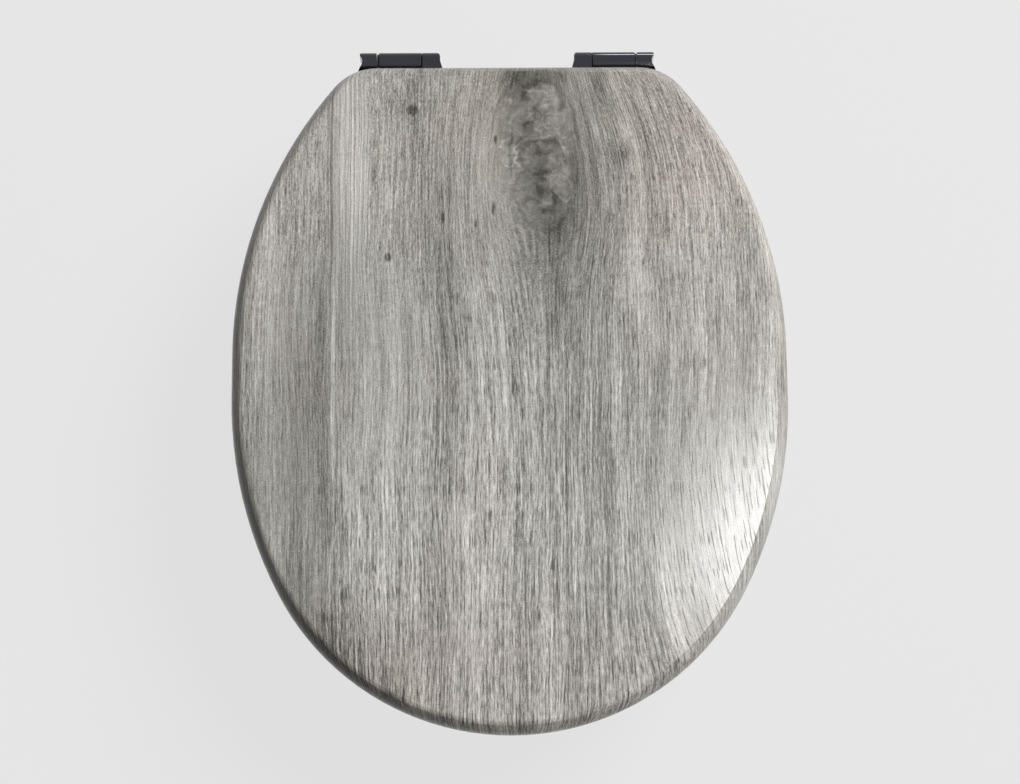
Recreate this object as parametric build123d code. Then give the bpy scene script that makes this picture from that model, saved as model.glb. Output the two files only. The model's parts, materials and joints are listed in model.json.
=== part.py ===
from build123d import *
import os
from math import atan2, cos, degrees, radians, sin

# A toilet seat: a wood print lid and ring on two chromed soft close hinges.
# Millimetres. Z is up, the front of the seat points to -Y and the hinges stand at +Y.
# The origin is midway between the two fixing studs, on the upper face of the pan.

# Lid
lid_width = 370.0
lid_length = 450.0
lid_thickness = 18.0
lid_edge_slope = 38.0
lid_edge_wall = 3.0
lid_break_round = 4.0
lid_under_round = 2.0

# Outline shared by the lid and the ring
back_straight = 178.0
back_corner = 38.0
side_from_back = 198.0
side_straight = 30.0
nose_turn = 28.0

# Ring
ring_inset = 2.0
ring_thickness = 18.0
ring_round = 6.0
rim_front = 68.0
rim_back = 90.0
opening_width = 225.0
opening_egg = 5.0

# Buffers
seat_buffer_height = 10.0
seat_buffer_length = 46.0
seat_buffer_width = 20.0
seat_buffer_edge = 2.0
seat_buffer_angle = 46.0
seat_buffer_from_opening = 34.0
lid_buffer_height = 5.0
lid_buffer_radius = 9.0
lid_buffer_edge = 1.0
lid_buffer_angle = 52.0
peg_radius = 3.0
peg_length = 8.0

# Hinge barrel and knuckles
stud_spacing = 155.0
hinge_behind_studs = 22.0
lid_ahead_of_hinge = 7.7
barrel_spacing = 147.0
barrel_radius = 8.0
barrel_length = 30.0
barrel_edge = 0.6
inner_knuckle = 12.0
outer_knuckle = 11.5
inner_gap = 0.4
outer_gap = 1.3
barrel_to_lid = 1.0
barrel_to_ring = 1.5

# Hinge leaves
leaf_thickness = 3.5
leaf_corner = 6.0
lid_knuckle_corner = 5.5
seat_knuckle_corner = 3.5
lid_leaf_length = 54.0
lid_leaf_flare = 12.0
lid_leaf_taper = 40.0
seat_leaf_length = 62.0
seat_leaf_flare = 12.0
seat_leaf_taper = 28.0
seat_leaf_waist = 1.7
seat_leaf_heel = 4.0
web_behind = 0.8

# Damper, pivot pin, washer and their fits
damper_radius = 5.8
damper_length = 20.0
damper_flat = 4.9
shaft_radius = 3.5
shaft_flats = 5.0
shaft_depth = 10.0
pin_radius = 3.0
pin_depth = 6.0
knuckle_end_wall = 2.5
hinge_washer_radius = 7.0
running_clearance = 0.05
end_clearance = 0.3

# Pillar, gasket and fixings
foot_radius = 18.0
foot_thickness = 3.5
foot_edge = 1.0
column_behind = 1.5
column_width = 21.0
column_waist = 18.0
boss_radius = 8.0
boss_height = 3.5
gasket_thickness = 1.5
gasket_inset = 0.6
gasket_hole = 5.6
stud_radius = 4.0
stud_shank = 12.0
stud_length = 72.0
thread_radius = 3.6
pan_thickness = 22.0
cone_length = 8.0
cone_tip_radius = 5.8
cone_root_radius = 7.4
flange_radius = 15.0
flange_thickness = 4.0
flange_edge = 1.0
washer_radius = 12.0
washer_thickness = 2.0
nut_radius = 8.5
nut_top_radius = 6.8
nut_height = 12.0
wing_span = 46.0
wing_height = 15.0
wing_thickness = 4.0
wing_round = 6.0

# Screws
screw_radius = 1.75
screw_head_radius = 3.6
screw_head_height = 2.0
screw_tip = 2.5
screw_grip = 11.0
fit_clearance = 0.05

# Heights and places that follow from the sizes above
ring_bottom = seat_buffer_height
ring_top = ring_bottom + ring_thickness
lid_bottom = ring_top + lid_buffer_height
axis_z = lid_bottom - barrel_to_lid - barrel_radius
lid_back = hinge_behind_studs - lid_ahead_of_hinge
lid_front = lid_back - lid_length
ring_back = hinge_behind_studs - barrel_radius - barrel_to_ring
ring_front = lid_front + ring_inset
side_y = lid_back - side_from_back
opening_front = ring_front + rim_front
opening_back = ring_back - rim_back
opening_mid = (opening_front + opening_back) / 2 + opening_egg
barrel_x = barrel_spacing / 2
barrel_from = barrel_x - barrel_length / 2
barrel_to = barrel_x + barrel_length / 2
lid_knuckle_to = barrel_from - inner_gap
lid_knuckle_from = lid_knuckle_to - inner_knuckle
seat_knuckle_from = barrel_to + outer_gap
seat_knuckle_to = seat_knuckle_from + outer_knuckle
foot_bottom = gasket_thickness
foot_top = foot_bottom + foot_thickness
boss_top = foot_top + boss_height
stud_x = stud_spacing / 2
up = (Align.CENTER, Align.CENTER, Align.MIN)
down = (Align.CENTER, Align.CENTER, Align.MAX)


# One rounded end: the radii of the side arc and of the nose arc that meets it at nose_turn
def end_radii(half_width, reach):
    turn = radians(nose_turn)
    spread = (reach - half_width) / (sin(turn) + cos(turn) - 1)
    side_radius = half_width + spread * cos(turn)
    return side_radius, side_radius - spread


# The side arc and nose arc on the +X side, from the widest line to the tip
def end_arcs(half_width, base_y, tip_y):
    way = 1 if tip_y > base_y else -1
    side_radius, nose_radius = end_radii(half_width, abs(tip_y - base_y))
    side = CenterArc((half_width - side_radius, base_y), side_radius, 0, way * nose_turn)
    nose_centre = (0, tip_y - way * nose_radius)
    nose = CenterArc(nose_centre, nose_radius, way * nose_turn, way * (90 - nose_turn))
    return [side, nose]


def mirrored_face(half_edges):
    half = Curve() + half_edges
    return make_face(half + mirror(half, about=Plane.YZ))


# Oval with a straight back edge and rounded back corners
def seat_outline(inset, back_y, front_y):
    half_width = lid_width / 2 - inset
    corner = back_corner - inset
    back_half = back_straight / 2
    across = half_width - back_half
    along = back_y - side_y - corner
    radius = (across**2 + along**2 - corner**2) / (2 * (across - corner))
    turn = degrees(atan2(along, radius - across))
    front_side = side_y - side_straight
    half_edges = [
        Line((0, back_y), (back_half, back_y)),
        CenterArc((back_half, back_y - corner), corner, turn, 90 - turn),
        CenterArc((half_width - radius, side_y), radius, 0, turn),
        Line((half_width, side_y), (half_width, front_side)),
    ]
    return mirrored_face(half_edges + end_arcs(half_width, front_side, front_y))


def opening_outline():
    half_width = opening_width / 2
    front = end_arcs(half_width, opening_mid, opening_front)
    return mirrored_face(front + end_arcs(half_width, opening_mid, opening_back))


def round_face_edges(solid, place, radius):
    return fillet(solid.faces().sort_by(Axis.Z)[place].edges(), radius)


# Screws point up from z = 0, where the flat of the head lies
def screw(length):
    shank = length - screw_head_height - screw_tip
    head = Cone(screw_head_radius, screw_radius, screw_head_height, align=up)
    body = Pos(0, 0, screw_head_height) * Cylinder(screw_radius, shank, align=up)
    tip = Pos(0, 0, screw_head_height + shank) * Cone(screw_radius, screw_radius / 4, screw_tip, align=up)
    return head + body + tip


def screw_hole(length):
    shank_hole = screw_radius + fit_clearance
    head_hole = Cone(screw_head_radius + fit_clearance, shank_hole, screw_head_height, align=up)
    return head_hole + Cylinder(shank_hole, length + end_clearance, align=up)


def lid_leaf_screw_places():
    far_x = lid_knuckle_from - lid_leaf_flare / 2
    near_x = lid_knuckle_to - inner_knuckle / 2
    front_ahead = lid_leaf_length - 2 * leaf_corner
    return [(near_x, hinge_behind_studs - front_ahead / 2), (far_x, hinge_behind_studs - front_ahead),
            (near_x, hinge_behind_studs - front_ahead)]


def seat_leaf_screw_places():
    near_x = seat_knuckle_from + outer_knuckle / 2
    far_x = seat_knuckle_to + seat_leaf_flare / 2
    front_ahead = seat_leaf_length - 2 * leaf_corner
    return [(near_x, hinge_behind_studs - front_ahead / 2), (near_x, hinge_behind_studs - front_ahead),
            (far_x, hinge_behind_studs - front_ahead)]


# Buffer centres on the right half, set along rays from the centres of the opening's nose arcs
def opening_ray_place(tip_y, from_edge, angle):
    way = 1 if tip_y > opening_mid else -1
    nose_radius = end_radii(opening_width / 2, abs(tip_y - opening_mid))[1]
    reach = nose_radius + from_edge
    turn = radians(angle)
    return reach * sin(turn), tip_y - way * nose_radius + way * reach * cos(turn)


lid_buffer_place = opening_ray_place(opening_front, rim_front / 2, lid_buffer_angle)
front_buffer_place = opening_ray_place(opening_front, rim_front / 2, seat_buffer_angle)
back_buffer_place = opening_ray_place(opening_back, seat_buffer_from_opening, seat_buffer_angle)
buffer_screw_reach = (seat_buffer_length - seat_buffer_width) / 2
buffer_screw_sink = seat_buffer_height / 4
leaf_screw_length = leaf_thickness + screw_grip
buffer_screw_length = seat_buffer_height - buffer_screw_sink + screw_grip


def both_sides(shape):
    return [shape, mirror(shape, about=Plane.YZ)]


# Lid: the flat top breaks into a convex edge that steepens down to a low wall.
# The edge is cut from a taller rounded board, then blind holes take leaf screws and buffer pegs.
def make_lid():
    slope = radians(lid_edge_slope)
    edge_radius = (lid_thickness - lid_edge_wall) / cos(slope)
    crown = edge_radius * (1 - cos(slope))
    outline = seat_outline(0, lid_back, lid_front)
    lid = extrude(Pos(0, 0, lid_bottom) * outline, lid_thickness + crown)
    lid = round_face_edges(lid, -1, edge_radius)
    lid -= extrude(Pos(0, 0, lid_bottom + lid_thickness) * outline, crown)
    lid = round_face_edges(lid, -1, lid_break_round)
    lid = round_face_edges(lid, 0, lid_under_round)
    for x, y in lid_leaf_screw_places():
        lid -= both_sides(Pos(x, y, lid_bottom - leaf_thickness) * screw_hole(leaf_screw_length))
    peg_hole = Cylinder(peg_radius + fit_clearance, peg_length + end_clearance, align=up)
    lid -= both_sides(Pos(*lid_buffer_place, lid_bottom) * peg_hole)
    return lid


def buffer_screw_places(place):
    turn = radians(seat_buffer_angle)
    way = 1 if place[1] > opening_mid else -1
    step = (buffer_screw_reach * cos(turn), -way * buffer_screw_reach * sin(turn))
    return [(place[0] + end * step[0], place[1] + end * step[1]) for end in (-1, 1)]


# Seat ring with blind holes for its leaf screws and buffer screws
def make_ring():
    face = seat_outline(ring_inset, ring_back, ring_front) - opening_outline()
    ring = extrude(Pos(0, 0, ring_bottom) * face, ring_thickness)
    ring = round_face_edges(ring, -1, ring_round)
    ring = round_face_edges(ring, 0, ring_round)
    for x, y in seat_leaf_screw_places():
        ring -= both_sides(Pos(x, y, ring_bottom - leaf_thickness) * screw_hole(leaf_screw_length))
    for place in (front_buffer_place, back_buffer_place):
        for x, y in buffer_screw_places(place):
            ring -= both_sides(Pos(x, y, buffer_screw_sink) * screw_hole(buffer_screw_length))
    return ring


# Round lid buffer with a peg that plugs into the lid
def make_lid_buffer():
    pad = Cylinder(lid_buffer_radius, lid_buffer_height, align=up)
    pad = chamfer(pad.faces().sort_by(Axis.Z)[0].edges(), lid_buffer_edge)
    pad += Pos(0, 0, lid_buffer_height) * Cylinder(peg_radius, peg_length, align=up)
    return Pos(*lid_buffer_place, ring_top) * pad


# Long seat buffer, sunk screw heads underneath
def make_seat_buffer(place):
    turn = seat_buffer_angle if place[1] < opening_mid else -seat_buffer_angle
    pad = extrude(Rot(0, 0, turn) * SlotOverall(seat_buffer_length, seat_buffer_width), seat_buffer_height)
    pad = chamfer(pad.faces().sort_by(Axis.Z)[0].edges(), seat_buffer_edge)
    pad = Pos(*place, 0) * pad
    sink = Cylinder(screw_head_radius + fit_clearance, buffer_screw_sink, align=up)
    for x, y in buffer_screw_places(place):
        pad -= Pos(x, y, buffer_screw_sink) * screw_hole(buffer_screw_length)
        pad -= Pos(x, y, 0) * sink
    return pad


# Hinge sections are drawn by distance ahead of the hinge axis and height above it
def section_point(ahead, height):
    return (hinge_behind_studs - ahead, axis_z + height)


def plan_point(x, ahead):
    return (x, hinge_behind_studs - ahead)


def round_bar(radius, x_from, x_to):
    bar = Cylinder(radius, abs(x_to - x_from))
    return Pos((x_from + x_to) / 2, hinge_behind_studs, axis_z) * Rot(0, 90, 0) * bar


# Round bar with one flat below, or with two flats above and below
def flatted_bar(radius, half_flat, x_from, x_to, both_flats):
    lowest = -half_flat
    highest = half_flat if both_flats else radius
    depth = highest - lowest
    middle = axis_z + (highest + lowest) / 2
    slab = Pos((x_from + x_to) / 2, hinge_behind_studs, middle) * Box(abs(x_to - x_from), 2 * radius, depth)
    return round_bar(radius, x_from, x_to) & slab


# A leaf is the solid that its side section and its plan have in common
def leaf_solid(section, plan, x_from, x_to):
    bar = Pos(x_from, 0, 0) * extrude(Plane.YZ * section, x_to - x_from)
    return bar & extrude(plan, lid_bottom + barrel_radius)


# The hole that a knuckle has for its keyed shaft or its plain pin, from its face at x_open
def knuckle_hole(x_open, way, keyed):
    width = inner_knuckle if way < 0 else outer_knuckle
    x_end = x_open + way * (width - knuckle_end_wall)
    if keyed:
        flat = shaft_flats / 2 + fit_clearance
        return flatted_bar(shaft_radius + fit_clearance, flat, x_open, x_end, True)
    return round_bar(pin_radius + fit_clearance, x_open, x_end)


def make_lid_leaf(keyed):
    top = barrel_radius + barrel_to_lid
    under = top - leaf_thickness
    plate = Polygon(section_point(0, barrel_radius), section_point(lid_ahead_of_hinge, top),
                    section_point(lid_leaf_length, top), section_point(lid_leaf_length, under),
                    section_point(0, under), align=None)
    section = plate + Pos(*section_point(0, 0)) * Circle(barrel_radius)
    far_x = lid_knuckle_from - lid_leaf_flare
    back = -barrel_radius - barrel_edge
    plan = Polygon(plan_point(lid_knuckle_to, back), plan_point(lid_knuckle_from, back),
                   plan_point(lid_knuckle_from, 0), plan_point(far_x, lid_leaf_taper),
                   plan_point(far_x, lid_leaf_length),
                   plan_point(lid_knuckle_to, lid_leaf_length), align=None)
    plan = fillet(plan.vertices().group_by(Axis.Y)[0], leaf_corner)
    plan = fillet(plan.vertices().group_by(Axis.Y)[-1].sort_by(Axis.X)[0], lid_knuckle_corner)
    leaf = leaf_solid(section, plan, far_x, lid_knuckle_to)
    leaf -= knuckle_hole(lid_knuckle_to, -1, keyed)
    for x, y in lid_leaf_screw_places():
        leaf -= Pos(x, y, lid_bottom - leaf_thickness) * screw_hole(leaf_screw_length)
    return leaf


def make_seat_leaf(keyed):
    seat = ring_bottom - axis_z
    under = seat - leaf_thickness
    web = Polygon(section_point(web_behind, 0), section_point(barrel_radius, 0),
                  section_point(barrel_radius, seat), section_point(seat_leaf_length, seat),
                  section_point(seat_leaf_length, under), section_point(web_behind, under), align=None)
    heel = web.vertices().group_by(Axis.X)[-1].sort_by(Axis.Y)[0]
    web = fillet(heel, seat_leaf_heel)
    section = web + Pos(*section_point(0, 0)) * Circle(barrel_radius)
    far_x = seat_knuckle_to + seat_leaf_flare
    back = -barrel_radius - barrel_edge
    waist_half = barrel_radius / 2
    outer_edges = [
        Polyline(plan_point(seat_knuckle_from, seat_leaf_length), plan_point(seat_knuckle_from, back),
                 plan_point(seat_knuckle_to, back), plan_point(seat_knuckle_to, -waist_half)),
        ThreePointArc(plan_point(seat_knuckle_to, -waist_half),
                      plan_point(seat_knuckle_to - seat_leaf_waist, 0),
                      plan_point(seat_knuckle_to, waist_half)),
        Polyline(plan_point(seat_knuckle_to, waist_half), plan_point(far_x, seat_leaf_taper),
                 plan_point(far_x, seat_leaf_length), plan_point(seat_knuckle_from, seat_leaf_length)),
    ]
    plan = make_face(Curve() + outer_edges)
    plan = fillet(plan.vertices().group_by(Axis.Y)[0], leaf_corner)
    plan = fillet(plan.vertices().group_by(Axis.Y)[-1].sort_by(Axis.X)[-1], seat_knuckle_corner)
    leaf = leaf_solid(section, plan, seat_knuckle_from, far_x)
    leaf -= knuckle_hole(seat_knuckle_from, 1, keyed)
    for x, y in seat_leaf_screw_places():
        leaf -= Pos(x, y, ring_bottom - leaf_thickness) * screw_hole(leaf_screw_length)
    return leaf


# The damper fills the barrel from its keyed end, and the pin turns in the other end
def keyed_way(keyed_outside):
    return 1 if keyed_outside else -1


def keyed_face(keyed_outside):
    return barrel_to if keyed_outside else barrel_from


def plain_face(keyed_outside):
    return barrel_from if keyed_outside else barrel_to


def foot_outline():
    column_y = hinge_behind_studs - (column_behind + barrel_radius) / 2
    column_depth = barrel_radius - column_behind
    column_base = Pos(barrel_x, column_y) * Rectangle(column_width, column_depth)
    disc = Pos(stud_x, 0) * Circle(foot_radius)
    return make_hull((column_base + disc).edges())


def make_pillar(keyed_outside):
    way = keyed_way(keyed_outside)
    barrel = round_bar(barrel_radius, barrel_from, barrel_to)
    barrel = chamfer(barrel.edges().filter_by(GeomType.CIRCLE), barrel_edge)
    depth = barrel_radius - column_behind
    front_half = [
        Line((0, axis_z), (barrel_length / 2 - barrel_edge, axis_z)),
        ThreePointArc((barrel_length / 2 - barrel_edge, axis_z),
                      (column_waist / 2, (axis_z + foot_top) / 2),
                      (column_width / 2, foot_top)),
        Line((column_width / 2, foot_top), (0, foot_top)),
    ]
    front = Plane.XZ * mirrored_face(front_half)
    column = Pos(barrel_x, hinge_behind_studs - column_behind, 0) * extrude(front, depth)
    foot = extrude(Pos(0, 0, foot_bottom) * foot_outline(), foot_thickness)
    foot = chamfer(foot.faces().sort_by(Axis.Z)[-1].edges(), foot_edge)
    boss = Pos(stud_x, 0, foot_top) * Cylinder(boss_radius, boss_height, align=up)
    boss = chamfer(boss.faces().sort_by(Axis.Z)[-1].edges(), foot_edge)
    pillar = barrel + column + foot + boss
    damper_end = keyed_face(keyed_outside) - way * (damper_length + end_clearance)
    pillar -= flatted_bar(damper_radius + fit_clearance, damper_flat + fit_clearance,
                          keyed_face(keyed_outside), damper_end, False)
    pin_end = plain_face(keyed_outside) + way * (pin_depth + end_clearance)
    pillar -= round_bar(pin_radius + running_clearance, plain_face(keyed_outside), pin_end)
    pillar -= Pos(stud_x, 0, foot_bottom) * Cylinder(thread_radius + fit_clearance, boss_top, align=up)
    return pillar


def make_damper_body(keyed_outside):
    way = keyed_way(keyed_outside)
    face = keyed_face(keyed_outside)
    body = flatted_bar(damper_radius, damper_flat, face, face - way * damper_length, False)
    bore_end = face - way * (shaft_depth + end_clearance)
    return body - round_bar(shaft_radius + running_clearance, face, bore_end)


# Damper shaft: round inside the damper, two flats inside the keyed knuckle
def make_damper_shaft(keyed_outside):
    way = keyed_way(keyed_outside)
    face = keyed_face(keyed_outside)
    gap = outer_gap if keyed_outside else inner_gap
    width = outer_knuckle if keyed_outside else inner_knuckle
    key_from = face + way * gap
    key_to = key_from + way * (width - knuckle_end_wall - end_clearance)
    round_part = round_bar(shaft_radius, face - way * shaft_depth, key_from)
    return round_part + flatted_bar(shaft_radius, shaft_flats / 2, key_from, key_to, True)


def make_pivot_pin(keyed_outside):
    way = keyed_way(keyed_outside)
    face = plain_face(keyed_outside)
    gap = inner_gap if keyed_outside else outer_gap
    width = inner_knuckle if keyed_outside else outer_knuckle
    far_end = face - way * (gap + width - knuckle_end_wall - end_clearance)
    return round_bar(pin_radius, face + way * pin_depth, far_end)


# Plastic washer on the shaft or pin that keeps the seat knuckle off the barrel
def make_hinge_washer():
    far_face = seat_knuckle_from - end_clearance
    disc = round_bar(hinge_washer_radius, barrel_to, far_face)
    return disc - round_bar(shaft_radius + end_clearance, barrel_to, far_face)


def make_gasket():
    face = offset(foot_outline(), -gasket_inset)
    pad = extrude(face, gasket_thickness)
    return pad - Pos(stud_x, 0, 0) * Cylinder(gasket_hole, gasket_thickness, align=up)


# Stud: plain shank through the pan, threaded ends above and below it
def make_stud():
    top = Pos(0, 0, foot_bottom) * Cylinder(thread_radius, boss_top - foot_bottom - end_clearance, align=up)
    shank = Pos(0, 0, foot_bottom) * Cylinder(stud_radius, foot_bottom + stud_shank, align=down)
    tail = Pos(0, 0, -stud_shank) * Cylinder(thread_radius, stud_length - stud_shank, align=down)
    tail = chamfer(tail.faces().sort_by(Axis.Z)[0].edges(), stud_radius / 4)
    return Pos(stud_x, 0, 0) * (top + shank + tail)


# Rubber cone that centres the stud in the pan hole, with a flange under the pan
def make_cone_washer():
    tip = Pos(0, 0, -pan_thickness) * Cone(cone_root_radius, cone_tip_radius, cone_length, align=up)
    flange = Pos(0, 0, -pan_thickness) * Cylinder(flange_radius, flange_thickness, align=down)
    flange = chamfer(flange.edges().filter_by(GeomType.CIRCLE), flange_edge)
    hole = Pos(0, 0, -pan_thickness - flange_thickness)
    hole = hole * Cylinder(thread_radius + fit_clearance, flange_thickness + cone_length, align=up)
    return Pos(stud_x, 0, 0) * (tip + flange - hole)


def make_flat_washer():
    disc = Cylinder(washer_radius, washer_thickness, align=down)
    disc -= Cylinder(thread_radius + fit_clearance, washer_thickness, align=down)
    return Pos(stud_x, 0, -pan_thickness - flange_thickness) * disc


# Wing nut: tapered hub with two wings that reach past its lower face
def make_wing_nut():
    top = -pan_thickness - flange_thickness - washer_thickness
    hub = Cone(nut_radius, nut_top_radius, nut_height, align=down)
    blade = Plane.XZ * RectangleRounded(wing_span, wing_height, wing_round)
    blade = extrude(blade, wing_thickness / 2, both=True)
    blade = Pos(0, 0, -nut_height / 4 - wing_height / 2) * blade
    nut = hub + blade
    nut -= Cylinder(thread_radius + fit_clearance, nut_height + wing_height, align=down)
    return Pos(stud_x, 0, top) * nut


# One hinge, as it stands on the right
def hinge_pieces(keyed_outside):
    return {
        "hinge_pillar": make_pillar(keyed_outside),
        "base_gasket": make_gasket(),
        "lid_leaf": make_lid_leaf(not keyed_outside),
        "seat_leaf": make_seat_leaf(keyed_outside),
        "damper_body": make_damper_body(keyed_outside),
        "damper_shaft": make_damper_shaft(keyed_outside),
        "pivot_pin": make_pivot_pin(keyed_outside),
        "hinge_washer": make_hinge_washer(),
        "fixing_stud": make_stud(),
        "cone_washer": make_cone_washer(),
        "flat_washer": make_flat_washer(),
        "wing_nut": make_wing_nut(),
    }


def screw_group(places, head_z, length):
    screws = [Pos(x, y, head_z) * screw(length) for x, y in places]
    return Compound(children=screws + [mirror(one, about=Plane.YZ) for one in screws])


pieces = {"lid": make_lid(), "seat_ring": make_ring()}
right_pieces = {
    "lid_buffer": make_lid_buffer(),
    "seat_buffer_front": make_seat_buffer(front_buffer_place),
    "seat_buffer_back": make_seat_buffer(back_buffer_place),
}
for name, shape in right_pieces.items():
    pieces[name + "_right"] = shape
    pieces[name + "_left"] = mirror(shape, about=Plane.YZ)
# The left damper brakes the lid, so its shaft points inwards; the right one brakes the ring
for name, shape in hinge_pieces(keyed_outside=True).items():
    pieces[name + "_right"] = shape
for name, shape in hinge_pieces(keyed_outside=False).items():
    pieces[name + "_left"] = mirror(shape, about=Plane.YZ)
pieces["lid_leaf_screws"] = screw_group(lid_leaf_screw_places(), lid_bottom - leaf_thickness,
                                        leaf_screw_length)
pieces["seat_leaf_screws"] = screw_group(seat_leaf_screw_places(), ring_bottom - leaf_thickness,
                                         leaf_screw_length)
buffer_places = buffer_screw_places(front_buffer_place) + buffer_screw_places(back_buffer_place)
pieces["seat_buffer_screws"] = screw_group(buffer_places, buffer_screw_sink, buffer_screw_length)

os.makedirs("parts", exist_ok=True)
for name, shape in pieces.items():
    export_step(shape, "parts/" + name + ".step")
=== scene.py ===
import json
import math

import bmesh
import bpy
from mathutils import Matrix, Vector


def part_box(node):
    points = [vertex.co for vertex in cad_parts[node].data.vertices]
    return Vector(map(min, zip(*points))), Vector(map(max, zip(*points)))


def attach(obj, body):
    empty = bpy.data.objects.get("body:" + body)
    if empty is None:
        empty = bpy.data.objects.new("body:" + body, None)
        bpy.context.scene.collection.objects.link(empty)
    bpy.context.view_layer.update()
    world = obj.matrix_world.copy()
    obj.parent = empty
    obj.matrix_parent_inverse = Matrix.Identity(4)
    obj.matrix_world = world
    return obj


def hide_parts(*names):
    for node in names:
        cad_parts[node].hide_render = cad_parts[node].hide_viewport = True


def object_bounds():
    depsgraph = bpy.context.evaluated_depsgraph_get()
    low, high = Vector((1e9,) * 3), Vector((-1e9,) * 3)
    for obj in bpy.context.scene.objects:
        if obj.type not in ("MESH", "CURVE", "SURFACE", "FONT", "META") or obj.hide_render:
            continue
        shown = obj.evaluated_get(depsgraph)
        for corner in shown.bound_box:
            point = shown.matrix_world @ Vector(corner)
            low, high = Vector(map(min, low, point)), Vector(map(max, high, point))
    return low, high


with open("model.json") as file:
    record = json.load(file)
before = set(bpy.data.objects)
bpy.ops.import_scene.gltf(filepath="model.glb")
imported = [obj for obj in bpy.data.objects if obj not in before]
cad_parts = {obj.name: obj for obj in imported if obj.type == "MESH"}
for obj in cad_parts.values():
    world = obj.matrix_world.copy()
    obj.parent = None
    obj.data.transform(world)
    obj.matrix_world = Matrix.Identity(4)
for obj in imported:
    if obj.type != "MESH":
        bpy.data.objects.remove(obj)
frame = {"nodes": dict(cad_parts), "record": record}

cad_low, cad_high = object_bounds()
nodes = frame["nodes"]

# Places that the frame gives
lid_low, lid_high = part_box("lid")
lid_back = lid_high.y
lid_top = lid_high.z
lid_middle = Vector((0.0, (lid_low.y + lid_high.y) / 2, lid_top))


# Noise of Blender's node has its middle here, and its layers fade by one of these shares
NOISE_MIDDLE = 0.5
SMOOTH = 0.5
ROUGH = 0.6


# A number that varies over a surface: sums and products of fields become Math nodes
class Field:
    def __init__(self, finish, socket):
        self.finish = finish
        self.socket = socket

    def __add__(self, other):
        return self.finish.math("ADD", self, other)

    def __radd__(self, other):
        return self.finish.math("ADD", other, self)

    def __sub__(self, other):
        return self.finish.math("SUBTRACT", self, other)

    def __rsub__(self, other):
        return self.finish.math("SUBTRACT", other, self)

    def __mul__(self, other):
        return self.finish.math("MULTIPLY", self, other)

    def __abs__(self):
        return self.finish.math("ABSOLUTE", self)


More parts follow.
